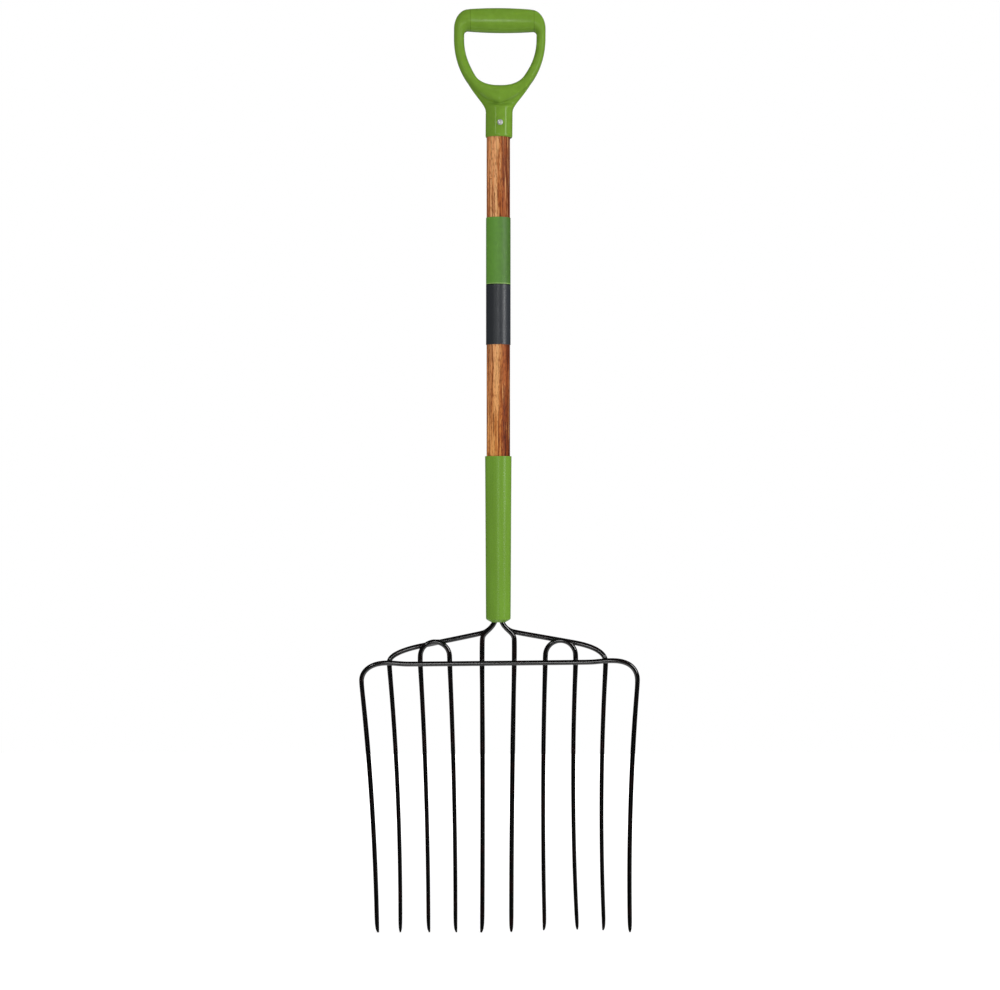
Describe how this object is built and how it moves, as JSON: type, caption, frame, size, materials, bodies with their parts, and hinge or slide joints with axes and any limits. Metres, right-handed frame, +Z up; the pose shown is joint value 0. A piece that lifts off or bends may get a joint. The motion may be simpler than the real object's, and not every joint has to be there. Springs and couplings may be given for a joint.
{
  "type": "ensilage fork",
  "caption": "D-handled ensilage fork: a row of slender round steel tines on a welded head of bent rods, with a long tubular ferrule, a round timber shaft and a moulded hand grip.",
  "frame": {"origin": "underside of the grip bar, at its middle, on the axis of the timber shaft: the place that a hook or a peg bears on when the fork hangs", "axes": "+Z up along the shaft towards the grip, +X across the row of tines to the picture's right, -Y out of the front of the fork towards the viewer; the tines' points curve forward to -Y"},
  "size_m": [0.3733, 0.0607, 1.2208],
  "materials": {
    "green_plastic": "satin moulded",
    "bright_steel": "bright",
    "varnished_timber": "varnished red-brown, long straight grain",
    "label_film": "plain printed sheet, green over charcoal",
    "green_paint": "semi-gloss powder coat",
    "black_steel": "black lacquer, satin",
    "weld_steel": "black lacquer over a rough weld bead"
  },
  "bodies": {
    "root": {"d_grip": "green_plastic", "grip_rivet": "bright_steel", "timber_shaft": "varnished_timber", "label_sleeve": "label_film", "ferrule": "green_paint", "ferrule_pin": "green_paint", "crossbar_rod": "black_steel", "left_centre_rod": "black_steel", "right_centre_rod": "black_steel", "left_shoulder_rod": "black_steel", "right_shoulder_rod": "black_steel", "left_hoop_rod": "black_steel", "right_hoop_rod": "black_steel", "weld_left_neck": "weld_steel", "weld_right_neck": "weld_steel", "weld_left_crown": "weld_steel", "weld_right_crown": "weld_steel", "weld_left_centre": "weld_steel", "weld_right_centre": "weld_steel", "weld_left_hoop_inner": "weld_steel", "weld_right_hoop_inner": "weld_steel", "weld_left_hoop_outer": "weld_steel", "weld_right_hoop_outer": "weld_steel", "weld_left_shoulder": "weld_steel", "weld_right_shoulder": "weld_steel"}
  },
  "joints": []
}
